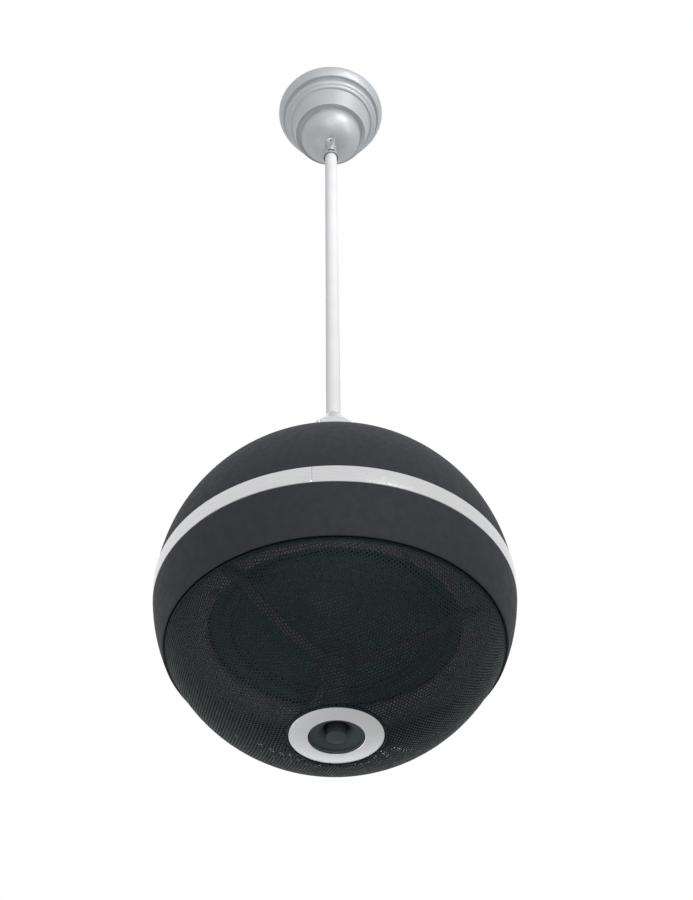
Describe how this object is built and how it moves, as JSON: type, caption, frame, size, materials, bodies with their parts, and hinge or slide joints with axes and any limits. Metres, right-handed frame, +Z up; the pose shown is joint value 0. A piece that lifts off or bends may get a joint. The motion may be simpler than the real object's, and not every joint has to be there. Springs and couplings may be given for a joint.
{
  "type": "ceiling speaker",
  "caption": "Ball loudspeaker with a perforated lower half and a horn at its nose, hung from a domed ceiling canopy by a rigid tube.",
  "frame": {"origin": "centre of the ceiling plate's upper face, which lies against the ceiling", "axes": "+Z up into the ceiling, along the tube and through the ball's centre; -Y towards the viewer of the picture; +X to the viewer's right"},
  "size_m": [0.3004, 0.3004, 0.9348],
  "materials": {
    "housing_paint": "satin charcoal",
    "grille_paint": "satin black on perforated sheet",
    "silver_paint": "satin silver-grey",
    "light_paint": "satin off-white",
    "polished_steel": "polished",
    "satin_chrome": "satin",
    "zinc_sheet": "zinc-plated sheet",
    "zinc_screw": "zinc-plated",
    "brass": "machined",
    "white_nylon": "moulded",
    "black_board": "fibreboard stained black",
    "black_plastic": "moulded",
    "horn_plastic": "moulded",
    "basket_paint": "black on pressed steel",
    "rubber": "moulded",
    "coated_paper": "pressed paper pulp with a coat",
    "felt": "felt and doped cloth",
    "ferrite": "sintered ferrite",
    "copper_wire": "enamelled copper wire",
    "lamination": "stacked laminations",
    "circuit_board": "solder-masked laminate",
    "capacitor_film": "wrapped film"
  },
  "bodies": {
    "root": {"ceiling_plate": "zinc_sheet", "hanger_strap": "zinc_sheet", "backing_plate": "zinc_sheet", "transformer_bracket": "zinc_sheet", "threaded_nipple": "zinc_screw", "ball_nipple": "zinc_screw", "collar_screw": "zinc_screw", "coupler_screw_front": "zinc_screw", "coupler_screw_rear": "zinc_screw", "shell_screw_a": "zinc_screw", "shell_screw_b": "zinc_screw", "shell_screw_c": "zinc_screw", "baffle_screw_a": "zinc_screw", "baffle_screw_b": "zinc_screw", "baffle_screw_c": "zinc_screw", "bridge_screw_a": "zinc_screw", "bridge_screw_b": "zinc_screw", "bridge_screw_c": "zinc_screw", "woofer_screw_a": "zinc_screw", "woofer_screw_b": "zinc_screw", "woofer_screw_c": "zinc_screw", "woofer_screw_d": "zinc_screw", "pole_plate": "zinc_screw", "back_plate": "zinc_screw", "nipple_nut_upper": "brass", "nipple_nut_lower": "brass", "ball_nipple_nut": "brass", "terminal_block": "white_nylon", "canopy": "silver_paint", "hanger_collar": "silver_paint", "hanging_tube": "light_paint", "ball_coupler": "satin_chrome", "upper_shell": "housing_paint", "lower_shell": "housing_paint", "trim_band": "polished_steel", "apex_ring": "polished_steel", "damping_pad": "felt", "woofer_gasket": "felt", "spider": "felt", "grille_dome": "grille_paint", "baffle_ring": "black_board", "horn_bridge": "black_plastic", "tweeter_driver": "black_plastic", "tweeter_horn": "horn_plastic", "phase_plug": "horn_plastic", "woofer_basket": "basket_paint", "woofer_surround": "rubber", "woofer_cone": "coated_paper", "dust_cap": "coated_paper", "voice_coil": "copper_wire", "transformer_coil": "copper_wire", "crossover_choke": "copper_wire", "magnet": "ferrite", "transformer_core": "lamination", "crossover_board": "circuit_board", "crossover_capacitor": "capacitor_film"}
  },
  "joints": []
}
